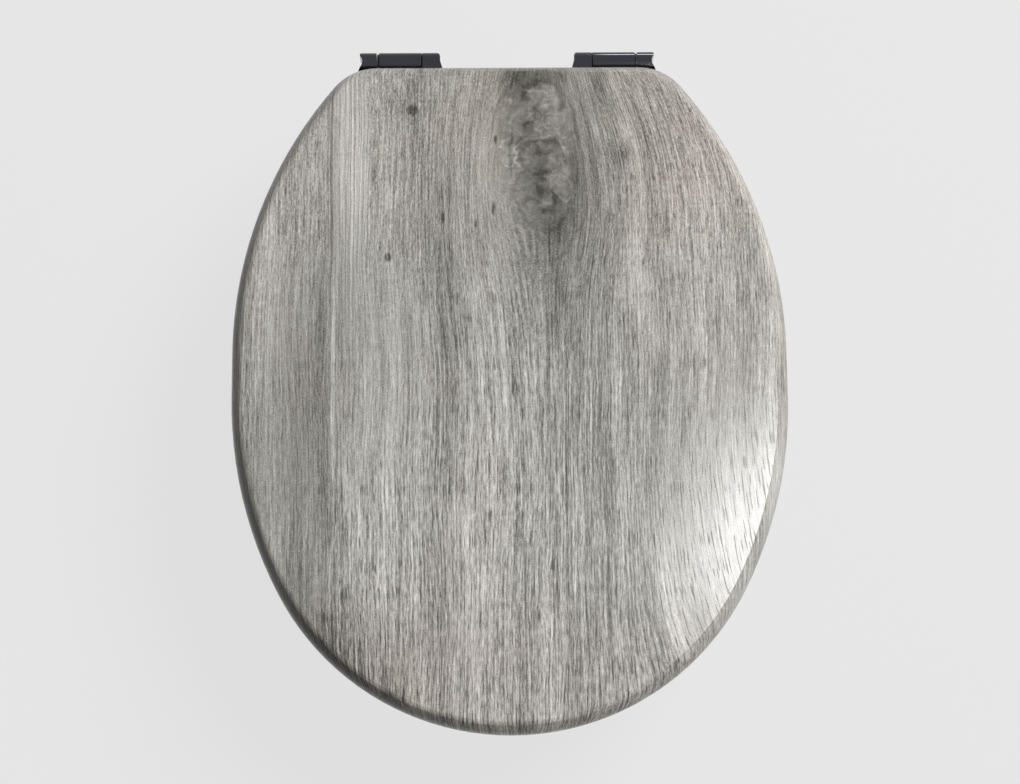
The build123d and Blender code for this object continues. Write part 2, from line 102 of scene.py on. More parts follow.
# A material with one Principled shader, read from the piece's Object coordinates
class Finish:
    def __init__(self, name):
        self.material = bpy.data.materials.new(name)
        self.material.use_nodes = True
        self.nodes = self.material.node_tree.nodes
        self.links = self.material.node_tree.links
        self.nodes.clear()
        self.shader = self.nodes.new("ShaderNodeBsdfPrincipled")
        output = self.nodes.new("ShaderNodeOutputMaterial")
        self.links.new(self.shader.outputs["BSDF"], output.inputs["Surface"])
        self.place = self.nodes.new("ShaderNodeTexCoord").outputs["Object"]
        split = self.nodes.new("ShaderNodeSeparateXYZ")
        self.links.new(self.place, split.inputs["Vector"])
        self.x, self.y, self.z = (Field(self, socket) for socket in split.outputs)

    # Links a field or socket to an input, or sets a plain value on it
    def put(self, target, value):
        if isinstance(value, Field):
            value = value.socket
        if isinstance(value, bpy.types.NodeSocket):
            self.links.new(value, target)
        else:
            target.default_value = value

    def set(self, **values):
        for name, value in values.items():
            self.put(self.shader.inputs[name.replace("_", " ")], value)

    def math(self, operation, first, second=0.0):
        node = self.nodes.new("ShaderNodeMath")
        node.operation = operation
        self.put(node.inputs[0], first)
        self.put(node.inputs[1], second)
        return Field(self, node.outputs[0])

    def vector(self, operation, *values):
        node = self.nodes.new("ShaderNodeVectorMath")
        node.operation = operation
        for target, value in zip(node.inputs, values):
            self.put(target, value)
        return node.outputs["Value" if operation == "LENGTH" else "Vector"]

    # The X and Y of a vector about a middle on the Y axis
    def split(self, vector, middle_y):
        node = self.nodes.new("ShaderNodeSeparateXYZ")
        self.links.new(vector, node.inputs["Vector"])
        return Field(self, node.outputs["X"]), Field(self, node.outputs["Y"]) + middle_y

    def point(self, across, along):
        node = self.nodes.new("ShaderNodeCombineXYZ")
        self.put(node.inputs["X"], across)
        self.put(node.inputs["Y"], along)
        return node.outputs["Vector"]

    # Goes smoothly from start to end while value goes from low to high
    def ease(self, value, low, high, start, end):
        node = self.nodes.new("ShaderNodeMapRange")
        node.interpolation_type = "SMOOTHSTEP"
        self.put(node.inputs["Value"], value)
        for name, number in (("From Min", low), ("From Max", high), ("To Min", start), ("To Max", end)):
            node.inputs[name].default_value = number
        return Field(self, node.outputs["Result"])

    def rise(self, value, low, high, height=1.0):
        return self.ease(value, low, high, 0.0, height)

    def fall(self, value, low, high, height=1.0):
        return self.ease(value, low, high, height, 0.0)

    def noise_node(self, place, scale, detail, roughness, flat=True):
        node = self.nodes.new("ShaderNodeTexNoise")
        node.noise_dimensions = "2D" if flat else "3D"
        node.inputs["Scale"].default_value = scale
        node.inputs["Detail"].default_value = detail
        node.inputs["Roughness"].default_value = roughness
        self.links.new(place, node.inputs["Vector"])
        return node

    # Noise about zero, mostly within a quarter, on two fields that count its cells
    def noise(self, across, along, detail, roughness=SMOOTH):
        node = self.noise_node(self.point(across, along), 1.0, detail, roughness)
        return Field(self, node.outputs["Fac"]) - NOISE_MIDDLE

    # Noise about zero on a flat point, the same along and across
    def plane_noise(self, point, scale, detail):
        node = self.noise_node(point, scale, detail, ROUGH)
        return Field(self, node.outputs["Fac"]) - NOISE_MIDDLE

    # Noise about zero in all three directions, for pieces with no grain
    def speckle(self, scale, detail):
        node = self.noise_node(self.place, scale, detail, SMOOTH, flat=False)
        return Field(self, node.outputs["Fac"]) - NOISE_MIDDLE

    # A point pushed about by noise, by up to about half of reach each way
    def swayed(self, point, scale, reach):
        node = self.noise_node(point, scale, detail=2.0, roughness=SMOOTH)
        push = self.vector("SUBTRACT", node.outputs["Color"], (NOISE_MIDDLE, NOISE_MIDDLE, NOISE_MIDDLE))
        return self.vector("MULTIPLY_ADD", push, (reach, reach, 0.0), point)

    # Distance from an oval's centre: 1 on its rim
    def oval(self, point, centre, half_size):
        scale = (1 / half_size[0], 1 / half_size[1], 0.0)
        shift = (-centre[0] * scale[0], -centre[1] * scale[1], 0.0)
        return Field(self, self.vector("LENGTH", self.vector("MULTIPLY_ADD", point, scale, shift)))

    # Colour for a value, from the first stop at 0 to the last stop at 1
    def ramp(self, value, stops):
        node = self.nodes.new("ShaderNodeValToRGB")
        elements = node.color_ramp.elements
        positions, colours = zip(*stops)
        for position in positions[1:-1]:
            elements.new(position)
        for element, colour in zip(elements, colours):
            element.color = (*colour, 1.0)
        self.put(node.inputs["Fac"], value)
        return node.outputs["Color"]

    def blend(self, factor, first, second, way="MIX"):
        node = self.nodes.new("ShaderNodeMix")
        node.data_type = "RGBA"
        node.blend_type = way
        self.put(node.inputs["Factor"], factor)
        for target, colour in (("A", first), ("B", second)):
            socket = [entry for entry in node.inputs if entry.name == target and entry.type == "RGBA"][0]
            self.put(socket, (*colour, 1.0) if isinstance(colour, tuple) else colour)
        return [entry for entry in node.outputs if entry.type == "RGBA"][0]

    def bump(self, height, depth):
        node = self.nodes.new("ShaderNodeBump")
        node.inputs["Distance"].default_value = depth
        self.put(node.inputs["Height"], height)
        self.links.new(node.outputs["Normal"], self.shader.inputs["Normal"])


# Highest tone of a screen, and the shift and power of its curve
TONE_MAX = 255
TONE_SHIFT = 0.055
TONE_POWER = 2.4


# Linear colour of red, green and blue tones as they show on a screen
def shown(*tones):
    return tuple(((tone / TONE_MAX + TONE_SHIFT) / (1 + TONE_SHIFT)) ** TONE_POWER for tone in tones)


# Grey oak print. x runs across the grain and ahead runs along it, from the lid's back edge, in metres
WOOD_TONES = [
    (0.00, shown(64, 63, 58)),
    (0.25, shown(110, 109, 104)),
    (0.45, shown(146, 145, 139)),
    (0.60, shown(170, 169, 164)),
    (0.80, shown(199, 198, 194)),
    (1.00, shown(224, 223, 220)),
]
WOOD_MIDDLE = 0.51
WOOD_GLOSS = 0.3
WOOD_ROUGHNESS = 0.23
PORE_ROUGHNESS = 0.08
GRIT_ROUGHNESS = 0.04

# Tint of the warm areas, and cells in a metre of their soft patches
WARM_TINT = (1.0, 0.945, 0.925)
WARM_ACROSS = 9.0
WARM_ALONG = 8.0

# How far the print is moved across on the ring and on undersides, which are the lowest skin of a board
RING_SHIFT = 0.31
UNDERSIDE_SHIFT = 0.230
UNDERSIDE_SKIN = 0.0005

# Share of the ring's half size inside which a place belongs to the opening's edge
RIM_MIDDLE = 0.8

# Layers of the grain: cells in a metre across and along, shift in cells, detail and roughness
GRAIN = {
    "bands": (60.0, 4.0, 0.0, 2.0, 0.5),
    "streaks": (250.0, 15.0, 0.0, 2.0, 0.6),
    "stripes": (760.0, 30.0, 0.0, 1.0, 0.5),
    "fibres": (1200.0, 170.0, 0.0, 2.0, 0.6),
    "grit": (1200.0, 950.0, 7.0, 1.0, 0.5),
    "limed": (600.0, 38.0, 3.0, 1.0, 0.5),
    "pores": (1000.0, 60.0, 11.0, 0.0, 0.5),
    "lines": (820.0, 7.0, 5.0, 0.0, 0.5),
    "rib_sway": (120.0, 9.0, 0.0, 1.0, 0.5),
}

# Layers that shorten towards the back, from this place on and this strongly
SHORTENED = ("streaks", "stripes", "fibres", "limed", "pores")
SHORTENED_FROM = 0.20
SHORTENING = 4.0

# Share of each layer in the tone and in the relief, and the depth of that relief
BAND_SHARE = 0.34
GRIT_SHARE = 0.36
FINE_SHARES = {
    "stripes": 0.46,
    "fibres": 0.64,
    "lines": 0.26,
    "streaks": 0.26,
    "limed": 0.10,
    "pores": -0.25,
    "ribs": 0.035,
}
RELIEF_SHARES = {
    "stripes": 0.3,
    "fibres": 0.2,
    "pores": -0.6,
}
RELIEF_DEPTH = 0.00003

# Wave of the print's ribs: turns in a metre across the grain, and how far noise shifts it
RIB_TURNS = 2 * math.pi / 0.0029
RIB_SWAY = 14.0

# Bends of the grain at the right: where along the board, over which stretch across it, and how strongly
BACK_BEND_END = 0.12
BACK_BEND_SIDE = (0.02, 0.08)
BACK_BEND_STRENGTH = 2.0
FRONT_BEND_START = 0.25
FRONT_BEND_SIDE = (0.05, 0.16)
FRONT_BEND_STRENGTH = 1.0

# Slow wander and small wobble of the growth lines: cells in a metre across and along, and reach
WANDER = (12.0, 6.0, 0.010)
WOBBLE = (110.0, 55.0, 0.0008)

# The large knot that the grain flows round: centre, reach and strength of the flow
KNOT = (0.021, 0.088)
KNOT_FLOW = (0.042, 0.080)
KNOT_PUSH = 0.72

# The curled inside of the knot: its oval, where it fades, and the shares of grain and grit that it loses
KNOT_INSIDE = ((0.019, 0.060), (0.029, 0.057))
KNOT_FADE = (0.65, 1.15)
KNOT_GRAIN_LOSS = 0.75
KNOT_GRIT_LOSS = 0.7

# Sways of the knot's parts: cells in a metre and reach
INSIDE_SWAY = (75.0, 0.012)
BLOTCH_SWAY = (95.0, 0.008)
LOOP_SWAY = (190.0, 0.0045)
OUTLINE_SWAY = (70.0, 0.007)

# Veins of the knot lie where a noise has these values
PALE_VEIN = 0.03
DARK_VEIN = -0.07
MOTTLE_SHARE = 0.48

# The oval with close even ribs: its fade, the share of other grain that it loses, and the ribs' own wave
RIBBED = ((-0.108, 0.060), (0.016, 0.130))
RIBBED_FADE = (0.6, 1.1)
RIBBED_GRAIN_LOSS = 0.5
EVEN_RIB_TURNS = 2 * math.pi / 0.0030
EVEN_RIB_SWAY = 9.0
EVEN_RIB_SHARE = 0.12
EVEN_RIB_CHANGE = 0.3

# Ovals where the grain is faint, the second one a painted sheen that washes the grain out at the lower
# right: centre, half size, start and end of the fade, and the share that is lost
FAINT = [
    ((-0.115, 0.210), (0.060, 0.090), 0.6, 1.2, 0.35),
    # Painted sheen: grain faded where the overhead strip's sheen lies
    ((0.155, 0.315), (0.070, 0.105), 0.6, 1.2, 0.46),
    ((-0.155, 0.330), (0.042, 0.090), 0.6, 1.2, 0.50),
    ((0.018, 0.076), (0.048, 0.105), 0.5, 1.15, 0.50),
]

# Where ovals of the figure start and stop fading, as shares of their half sizes
SHADE_FADE = (0.1, 1.35)
MARK_FADE = (0.3, 1.05)
STRIP_FADE = (0.75, 1.05)
BLOTCH_FADE = (0.2, 1.25)

# Soft shades of the figure, some of them painted light and painted shade as marked: x, ahead, half width,
# half length, change of tone
SHADES = [
    (0.022, 0.070, 0.032, 0.085, -0.15),
    (0.025, 0.140, 0.024, 0.080, -0.14),
    (0.060, 0.085, 0.018, 0.080, -0.11),
    (0.060, 0.016, 0.009, 0.022, -0.13),
    (-0.018, 0.122, 0.006, 0.032, -0.12),
    (0.037, 0.144, 0.006, 0.022, 0.08),
    (0.081, 0.140, 0.008, 0.036, 0.09),
    (0.018, 0.008, 0.030, 0.018, -0.08),
    (0.006, 0.028, 0.026, 0.034, -0.10),
    # Painted shade: the upper left made darker, against the key lamp's stronger light there
    (-0.075, 0.095, 0.085, 0.130, -0.05),
    (0.021, 0.080, 0.016, 0.036, -0.06),
    (0.044, 0.250, 0.020, 0.330, -0.11),
    (0.066, 0.390, 0.034, 0.100, -0.12),
    (-0.085, 0.310, 0.030, 0.120, 0.09),
    # Painted light: the lower middle made lighter, where the key lamp's light falls off towards the front
    (-0.020, 0.370, 0.110, 0.130, 0.06),
    (-0.160, 0.170, 0.030, 0.060, 0.07),
    (-0.112, 0.410, 0.045, 0.050, -0.22),
    (-0.078, 0.375, 0.016, 0.040, 0.10),
    (0.136, 0.110, 0.016, 0.060, 0.07),
    (-0.104, 0.160, 0.016, 0.050, -0.07),
    (-0.075, 0.095, 0.014, 0.050, 0.06),
    (0.110, 0.260, 0.060, 0.070, -0.11),
    # Painted sheen: paler where the overhead strip's sheen lies at the lower right
    (0.152, 0.285, 0.040, 0.080, 0.07),
    (0.085, 0.040, 0.050, 0.050, -0.05),
    (-0.046, 0.150, 0.016, 0.130, -0.07),
    (-0.045, 0.330, 0.014, 0.130, -0.05),
    (-0.128, 0.230, 0.022, 0.130, -0.07),
    (-0.155, 0.325, 0.045, 0.120, -0.10),
    (-0.103, 0.050, 0.022, 0.130, 0.09),
    (-0.135, 0.090, 0.040, 0.110, 0.05),
    (-0.014, 0.270, 0.014, 0.160, 0.05),
    (0.079, 0.048, 0.008, 0.010, 0.09),
    (0.076, 0.066, 0.007, 0.009, -0.16),
    # Painted shade: a darker strip along the back edge, where less light reaches it
    (0.000, 0.002, 0.170, 0.010, -0.09),
    (-0.068, 0.028, 0.016, 0.018, -0.08),
    (-0.078, 0.130, 0.010, 0.012, -0.06),
]

# Long strips with firm sides along the grain, in the same order of numbers
STRIPS = [
    (-0.1045, 0.060, 0.0110, 0.150, 0.04),
    (-0.1255, 0.230, 0.0095, 0.090, -0.05),
    (-0.1195, 0.345, 0.0135, 0.075, -0.06),
    (-0.1052, 0.345, 0.0010, 0.075, 0.13),
    (-0.1155, 0.225, 0.0012, 0.090, 0.22),
    (-0.1175, 0.080, 0.0012, 0.090, -0.12),
    (-0.0365, 0.060, 0.0022, 0.060, 0.07),
    (0.0620, 0.290, 0.0034, 0.120, -0.10),
    (0.0350, 0.330, 0.0030, 0.100, -0.07),
    (-0.0130, 0.330, 0.0030, 0.080, 0.07),
]

# Small dark marks with a firm edge, in the same order of numbers
MARKS = [
    (-0.0647, 0.0338, 0.0046, 0.0054, -0.34),
    (-0.0808, 0.1355, 0.0032, 0.0040, -0.40),
    (-0.0087, 0.0545, 0.0016, 0.0038, -0.34),
    (-0.0106, 0.1030, 0.0017, 0.0062, -0.36),
    (-0.0441, 0.1086, 0.0015, 0.0055, -0.34),
    (-0.0222, 0.1130, 0.0015, 0.0040, -0.26),
    (0.0268, 0.1280, 0.0011, 0.0190, -0.24),
]

# Soft blotches inside the knot, on swayed coordinates, in the same order of numbers
BLOTCHES = [
    (0.016, 0.011, 0.024, 0.009, -0.14),
    (0.004, 0.017, 0.012, 0.010, -0.08),
    (0.011, 0.023, 0.006, 0.008, -0.15),
    (0.036, 0.022, 0.005, 0.012, -0.12),
    (0.036, 0.031, 0.003, 0.004, -0.12),
    (0.019, 0.034, 0.005, 0.008, -0.18),
    (0.024, 0.040, 0.006, 0.006, -0.10),
    (0.013, 0.047, 0.005, 0.007, -0.20),
    (0.006, 0.055, 0.009, 0.005, -0.14),
    (0.029, 0.057, 0.007, 0.004, -0.12),
    (0.019, 0.063, 0.005, 0.013, -0.16),
    (0.009, 0.077, 0.008, 0.005, -0.12),
    (0.020, 0.081, 0.007, 0.010, -0.17),
    (0.019, 0.093, 0.004, 0.009, -0.12),
    (0.030, 0.097, 0.004, 0.009, -0.12),
    (0.026, 0.104, 0.007, 0.004, -0.12),
    (0.040, 0.106, 0.008, 0.010, -0.08),
    (0.031, 0.117, 0.009, 0.011, -0.10),
    (0.046, 0.080, 0.006, 0.036, -0.10),
    (0.030, 0.022, 0.008, 0.008, 0.08),
    (0.032, 0.083, 0.006, 0.009, 0.08),
    (0.002, 0.066, 0.006, 0.010, 0.05),
]

# Curled pale or dark lines of the knot: x, ahead, half width, half length, half thickness, change of tone
LOOPS = [
    (0.0215, 0.0660, 0.0165, 0.0135, 0.10, 0.16),
    (0.0225, 0.0670, 0.0145, 0.0115, 0.18, -0.12),
    (0.0170, 0.0420, 0.0050, 0.0060, 0.26, 0.14),
    (0.0310, 0.0420, 0.0070, 0.0060, 0.18, 0.12),
    (0.0150, 0.0270, 0.0140, 0.0060, 0.16, 0.11),
    (0.0370, 0.0890, 0.0060, 0.0090, 0.22, 0.13),
    (0.0255, 0.0930, 0.0025, 0.0060, 0.60, 0.14),
    (0.0010, 0.0640, 0.0060, 0.0100, 0.18, 0.11),
]

# Dark outlines round the knot, in the same order of numbers
OUTLINES = [
    (0.0240, 0.0650, 0.0230, 0.0530, 0.07, -0.13),
    (0.0210, 0.0720, 0.0350, 0.0680, 0.04, -0.07),
]


# Adds soft ovals to a tone, each full in its core and gone at its reach
def add_ovals(finish, tone, point, ovals, core, reach):
    for x, ahead, half_width, half_length, change in ovals:
        distance = finish.oval(point, (x, ahead), (half_width, half_length))
        tone = tone + finish.fall(distance, core, reach, change)
    return tone


# Adds a share of oval rings to a tone
def add_rings(finish, tone, point, rings, share):
    for x, ahead, half_width, half_length, half_thickness, change in rings:
        distance = finish.oval(point, (x, ahead), (half_width, half_length))
        tone = tone + finish.fall(abs(distance - 1.0), low=0.0, high=half_thickness, height=change) * share
    return tone


# Place of each point's growth line across the grain: lines bend at the right and part round the knot
def growth_line(wood, x, ahead, knotted):
    from_back = wood.math("MAXIMUM", BACK_BEND_END - ahead, 0.0)
    from_front = wood.math("MAXIMUM", ahead - FRONT_BEND_START, 0.0)
    line = x + from_back * from_back * wood.rise(x, *BACK_BEND_SIDE, BACK_BEND_STRENGTH)
    line = line - from_front * from_front * wood.rise(x, *FRONT_BEND_SIDE, FRONT_BEND_STRENGTH)
    for across, along, reach in (WANDER, WOBBLE):
        line = line + wood.noise(x * across, ahead * along, detail=1.0) * reach
    if not knotted:
        return line
    near = wood.oval(wood.point(x, ahead), KNOT, KNOT_FLOW)
    push = wood.math("EXPONENT", near * near * -1.0) * KNOT_PUSH
    return line - (x - KNOT[0]) * push


# The grain's layers by name. Limed streaks and pores are peaks of noise, and the back left's pores are faint
def grain_layers(wood, x, ahead, line):
    from_back = wood.math("MAXIMUM", SHORTENED_FROM - ahead, 0.0)
    run = ahead - from_back * from_back * SHORTENING
    layers = {}
    for name, (across, along, shift, detail, roughness) in GRAIN.items():
        place = run if name in SHORTENED else ahead
        layers[name] = wood.noise(line * across + shift, place * along, detail, roughness)
    layers["limed"] = wood.rise(layers["limed"], low=0.08, high=0.26)
    open_share = wood.ease(x + ahead, low=0.05, high=0.18, start=0.45, end=1.0)
    layers["pores"] = wood.rise(layers["pores"], low=0.17, high=0.28) * open_share
    layers["ribs"] = wood.math("SINE", line * RIB_TURNS + layers["rib_sway"] * RIB_SWAY)
    return layers


# Sum of the named layers, each by its share
def mixed(layers, shares):
    return sum(layers[name] * share for name, share in shares.items())


# Fine grain, stronger towards the front
def fine_grain(wood, layers, ahead):
    return mixed(layers, FINE_SHARES) * wood.ease(ahead, low=0.16, high=0.34, start=1.02, end=1.38)


# Figure of the knot: blotches, broken curls, outlines, fine veins and mottling, on swayed coordinates
def knot_figure(wood, tone, point, inside):
    loose = wood.swayed(point, *BLOTCH_SWAY)
    wavy = wood.swayed(loose, *LOOP_SWAY)
    tone = add_ovals(wood, tone, loose, BLOTCHES, *BLOTCH_FADE)
    broken = wood.rise(wood.plane_noise(point, scale=90.0, detail=0.0), low=-0.18, high=0.02)
    tone = add_rings(wood, tone, wavy, LOOPS, broken)
    faded = wood.rise(wood.plane_noise(point, scale=40.0, detail=0.0), low=-0.30, high=0.0)
    tone = add_rings(wood, tone, wood.swayed(point, *OUTLINE_SWAY), OUTLINES, faded)
    veins = wood.plane_noise(wavy, scale=52.0, detail=1.0)
    pale = wood.fall(abs(veins - PALE_VEIN), low=0.0, high=0.024, height=0.07)
    dark = wood.fall(abs(veins - DARK_VEIN), low=0.0, high=0.040, height=0.07)
    mottle = wood.plane_noise(wavy, scale=150.0, detail=2.0) * MOTTLE_SHARE
    return tone + inside * (pale - dark + mottle)


# How far a place belongs to the ribbed strip
def ribbed_strip(wood, point):
    return wood.fall(wood.oval(point, *RIBBED), *RIBBED_FADE)


# Fine grain of the lid, thinned in the knot, in the ribbed strip and where it is faint, which includes a
# painted sheen at the lower right
def thinned_grain(wood, fine, point, inside):
    fine = fine * (1.0 - inside * KNOT_GRAIN_LOSS) * (1.0 - ribbed_strip(wood, point) * RIBBED_GRAIN_LOSS)
    for centre, half_size, core, reach, loss in FAINT:
        fine = fine * (1.0 - wood.fall(wood.oval(point, centre, half_size), core, reach, loss))
    return fine


# Figure of the lid's print: shades, some of them painted light and painted shade, marks, strips, even ribs
# and the knot
def lid_figure(wood, tone, point, line, ahead, layers, inside):
    tone = add_ovals(wood, tone, point, SHADES, *SHADE_FADE)
    tone = add_ovals(wood, tone, point, MARKS, *MARK_FADE)
    tone = add_ovals(wood, tone, wood.point(line, ahead), STRIPS, *STRIP_FADE)
    even_ribs = wood.math("SINE", line * EVEN_RIB_TURNS + layers["lines"] * EVEN_RIB_SWAY)
    strength = EVEN_RIB_SHARE + layers["bands"] * EVEN_RIB_CHANGE
    tone = tone + even_ribs * ribbed_strip(wood, point) * strength
    return knot_figure(wood, tone, point, inside)


# How warm the wood is: in soft patches, at the back, at the front and at the back right
def warmth(wood, x, ahead):
    clouds = wood.noise(x * WARM_ACROSS, ahead * WARM_ALONG, detail=2.0)
    patches = wood.rise(clouds, low=-0.12, high=0.22, height=0.3)
    back = wood.fall(ahead, low=0.02, high=0.17, height=0.45)
    front = wood.rise(ahead, low=0.33, high=0.41, height=0.6)
    back_right = wood.rise(x, low=0.04, high=0.11) * wood.fall(ahead, low=0.16, high=0.27, height=0.45)
    return patches + back + front + back_right


# Place across and along a board, run on over its edges as a printed foil is: outwards, or inwards at a hole
def foil_place(wood, low, high, underside, holed):
    middle = (low + high) / 2
    half_size = (high - low) / 2
    from_middle = wood.point(wood.x, wood.y - middle.y)
    drop = (high.z - wood.z) * (1.0 - underside)
    if holed:
        reach = wood.oval(from_middle, (0.0, 0.0), half_size)
        drop = drop * (1.0 - wood.math("LESS_THAN", reach, RIM_MIDDLE) * 2.0)
    outwards = wood.vector("NORMALIZE", from_middle)
    return wood.split(wood.vector("MULTIPLY_ADD", outwards, drop, from_middle), middle.y)


# Grey oak print of a board. The knotted one has the lid's knot and figure
def grey_oak(name, board, knotted, shift):
    wood = Finish(name)
    low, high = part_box(board)
    underside = wood.math("LESS_THAN", wood.z, low.z + UNDERSIDE_SKIN)
    x, y = foil_place(wood, low, high, underside, not knotted)
    x = x + underside * UNDERSIDE_SHIFT + shift
    ahead = lid_back - y
    line = growth_line(wood, x, ahead, knotted)
    layers = grain_layers(wood, x, ahead, line)
    fine = fine_grain(wood, layers, ahead)
    grit = layers["grit"]
    if knotted:
        point = wood.point(x, ahead)
        inside = wood.fall(wood.oval(wood.swayed(point, *INSIDE_SWAY), *KNOT_INSIDE), *KNOT_FADE)
        fine = thinned_grain(wood, fine, point, inside)
        grit = grit * (1.0 - inside * KNOT_GRIT_LOSS)
    tone = WOOD_MIDDLE + layers["bands"] * BAND_SHARE + fine + grit * GRIT_SHARE
    if knotted:
        tone = lid_figure(wood, tone, point, line, ahead, layers, inside)
    colour = wood.ramp(tone, WOOD_TONES)
    wood.set(Base_Color=wood.blend(warmth(wood, x, ahead), colour, WARM_TINT, "MULTIPLY"))
    wood.set(Roughness=WOOD_ROUGHNESS + layers["pores"] * PORE_ROUGHNESS + grit * GRIT_ROUGHNESS)
    wood.set(Specular_IOR_Level=WOOD_GLOSS)
    wood.bump(mixed(layers, RELIEF_SHARES), RELIEF_DEPTH)
    return wood.material


# Chrome of the hinges, its dark tones a painted reflection of a dark room: clear and hazy tone, roughness,
# and what the haze adds to it
CHROME_CLEAR = shown(66, 67, 72)
CHROME_HAZY = shown(60, 60, 63)
CHROME_ROUGHNESS = 0.08
HAZE_ROUGHNESS = 0.06


def chrome_with_painted_dark_reflection():
    metal = Finish("chrome_with_painted_dark_reflection")
    haze = metal.rise(metal.speckle(scale=60.0, detail=3.0), low=-0.05, high=0.25)
    metal.set(Base_Color=metal.blend(haze, CHROME_CLEAR, CHROME_HAZY), Metallic=1.0)
    metal.set(Roughness=CHROME_ROUGHNESS + haze * HAZE_ROUGHNESS)
    metal.bump(metal.speckle(scale=900.0, detail=2.0), depth=0.000006)
    return metal.material


# Zinc plated steel of the fixings: grey and pale tone, roughness, and what the pale clouds add to it
ZINC_GREY = shown(178, 180, 182)
ZINC_PALE = shown(198, 197, 190)
ZINC_ROUGHNESS = 0.26
ZINC_CLOUD_ROUGHNESS = 0.12


def zinc_steel():
    metal = Finish("zinc_steel")
    cloud = metal.rise(metal.speckle(scale=140.0, detail=4.0), low=-0.2, high=0.2)
    metal.set(Base_Color=metal.blend(cloud, ZINC_GREY, ZINC_PALE), Metallic=1.0)
    metal.set(Roughness=ZINC_ROUGHNESS + cloud * ZINC_CLOUD_ROUGHNESS)
    metal.bump(metal.speckle(scale=2400.0, detail=2.0), depth=0.00001)
    return metal.material


# Gloss of moulded pieces, and what their pale clouds add to the roughness
MOULDED_GLOSS = 0.35
MOULDED_CLOUD_ROUGHNESS = 0.08


# Moulded plastic or rubber with a clouded tone and a fine pitted skin
def moulded(name, dark, light, roughness, pit_scale, pit_depth):
    skin = Finish(name)
    cloud = skin.rise(skin.speckle(scale=90.0, detail=3.0), low=-0.2, high=0.2)
    skin.set(Base_Color=skin.blend(cloud, dark, light), Specular_IOR_Level=MOULDED_GLOSS)
    skin.set(Roughness=roughness + cloud * MOULDED_CLOUD_ROUGHNESS)
    skin.bump(skin.speckle(scale=pit_scale, detail=3.0), pit_depth)
    return skin.material


# Moulded finishes: dark tone, light tone, roughness, pits in a metre and depth of the pits
MOULDED = {
    "damper_plastic": (shown(36, 36, 38), shown(46, 46, 49), 0.42, 1800.0, 0.00002),
    "nut_plastic": (shown(205, 205, 200), shown(217, 217, 213), 0.45, 1500.0, 0.00002),
    "buffer_rubber": (shown(172, 172, 168), shown(186, 186, 182), 0.55, 2200.0, 0.00003),
    "fixing_rubber": (shown(38, 38, 38), shown(48, 48, 47), 0.62, 2200.0, 0.00003),
}

finishes = {slot: moulded(slot, *numbers) for slot, numbers in MOULDED.items()}
finishes["grey_oak"] = grey_oak("grey_oak_lid", "lid", knotted=True, shift=0.0)
finishes["hinge_chrome"] = chrome_with_painted_dark_reflection()
finishes["steel"] = zinc_steel()


def dress(piece, material):
    piece.data.materials.clear()
    piece.data.materials.append(material)


for part in frame["record"]["subparts"]:
    dress(nodes[part["node"]], finishes[part["material_slot"]])
dress(nodes["seat_ring"], grey_oak("grey_oak_ring", "seat_ring", knotted=False, shift=RING_SHIFT))


# Points nearer than this are one point
MERGE_REACH = 0.000002


def merge_points(shape):
    bmesh.ops.remove_doubles(shape, verts=shape.verts, dist=MERGE_REACH)


# Links an object that is made of a finished bmesh and a material
def make_object(name, shape, material):
    mesh = bpy.data.meshes.new(name)
    shape.to_mesh(mesh)
    shape.free()
    made = bpy.data.objects.new(name, mesh)
    bpy.context.scene.collection.objects.link(made)
    dress(made, material)
    return made


# Makes a piece of a finished bmesh, on a body and in place of nodes where they are given
def add_piece(name, shape, slot, body, *replaced):
    merge_points(shape)
    bmesh.ops.recalc_face_normals(shape, faces=shape.faces)
    piece = make_object(name, shape, finishes[slot])
    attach(piece, body)
    if replaced:
        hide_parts(*replaced)


# A closed outline of points, as vertices joined by edges
def add_outline(shape, points):
    verts = [shape.verts.new(point) for point in points]
    edges = [shape.edges.new((verts[index - 1], verts[index])) for index in range(len(verts))]
    return verts, edges


# Moves the open end of a tube on, by extruding its edges, to a new radius about the Z axis at a new height
def draw_on(shape, edges, scale, rise, centre):
    grown = bmesh.ops.extrude_edge_only(shape, edges=edges)["geom"]
    verts = [part for part in grown if isinstance(part, bmesh.types.BMVert)]
    space = Matrix.Translation(-centre)
    bmesh.ops.scale(shape, vec=(scale, scale, 1.0), verts=verts, space=space)
    bmesh.ops.translate(shape, vec=(0.0, 0.0, rise), verts=verts)
    return [part for part in grown if isinstance(part, bmesh.types.BMEdge)
            and part.verts[0] in verts and part.verts[1] in verts]


# Studs with a rolled metric thread below the plain shank
THREAD_PITCH = 0.00125
THREAD_CREST = 0.00395
THREAD_ROOT = 0.0032
THREAD_STEPS = 20
STUD_SHANK_END = -0.012
STUD_SHANK_SIDES = 40
STUD_TIP_RADIUS = 0.0029

# Outline of one tooth of the thread: radius, and height as a share of the pitch
THREAD_TOOTH = [
    (THREAD_ROOT, 0.0),
    (THREAD_ROOT, 0.15),
    (THREAD_CREST, 0.5),
    (THREAD_CREST, 0.62),
    (THREAD_ROOT, 1.0),
]


